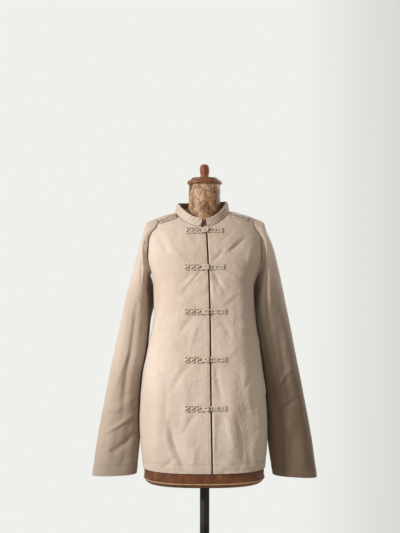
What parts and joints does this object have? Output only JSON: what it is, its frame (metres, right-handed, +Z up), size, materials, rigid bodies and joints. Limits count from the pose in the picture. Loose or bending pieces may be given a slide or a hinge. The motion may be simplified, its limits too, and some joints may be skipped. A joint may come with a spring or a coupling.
{
  "type": "mandarin collar shirt worn by a limbless dress form on a pole stand",
  "caption": "Beige mandarin collar shirt with five frog closures, long plain sleeves and two strips of trim at the shoulders, on an old limbless dress form with a wooden neck cap and a pole stand.",
  "frame": {"origin": "centre of the base's underside, on the floor", "axes": "+Z up along the pole, -Y the front of the shirt, +X the viewer's right from the front"},
  "size_m": [0.5636, 0.36, 1.4858],
  "materials": {
    "back_cloth": "matt",
    "front_left_cloth": "matt",
    "sleeve_left_cloth": "matt",
    "front_right_cloth": "matt",
    "sleeve_right_cloth": "matt",
    "collar_cloth": "matt",
    "frog_1_knot_braid": "matt",
    "frog_1_loop_braid": "matt",
    "frog_2_knot_braid": "matt",
    "frog_2_loop_braid": "matt",
    "frog_3_knot_braid": "matt",
    "frog_3_loop_braid": "matt",
    "frog_4_knot_braid": "matt",
    "frog_4_loop_braid": "matt",
    "frog_5_knot_braid": "matt",
    "frog_5_loop_braid": "matt",
    "shoulder_strip_left_braid": "matt",
    "shoulder_strip_right_braid": "matt",
    "form_cover": "worn satin",
    "neck_cap_wood": "satin",
    "finial_wood": "satin",
    "pole_metal": "satin",
    "base_metal": "satin"
  },
  "bodies": {
    "root": {"back": "back_cloth", "front_left": "front_left_cloth", "sleeve_left": "sleeve_left_cloth", "front_right": "front_right_cloth", "sleeve_right": "sleeve_right_cloth", "collar": "collar_cloth", "frog_1_knot": "frog_1_knot_braid", "frog_1_loop": "frog_1_loop_braid", "frog_2_knot": "frog_2_knot_braid", "frog_2_loop": "frog_2_loop_braid", "frog_3_knot": "frog_3_knot_braid", "frog_3_loop": "frog_3_loop_braid", "frog_4_knot": "frog_4_knot_braid", "frog_4_loop": "frog_4_loop_braid", "frog_5_knot": "frog_5_knot_braid", "frog_5_loop": "frog_5_loop_braid", "shoulder_strip_left": "shoulder_strip_left_braid", "shoulder_strip_right": "shoulder_strip_right_braid", "form_torso": "form_cover", "neck_cap": "neck_cap_wood", "finial": "finial_wood", "pole": "pole_metal", "base": "base_metal"}
  },
  "joints": []
}
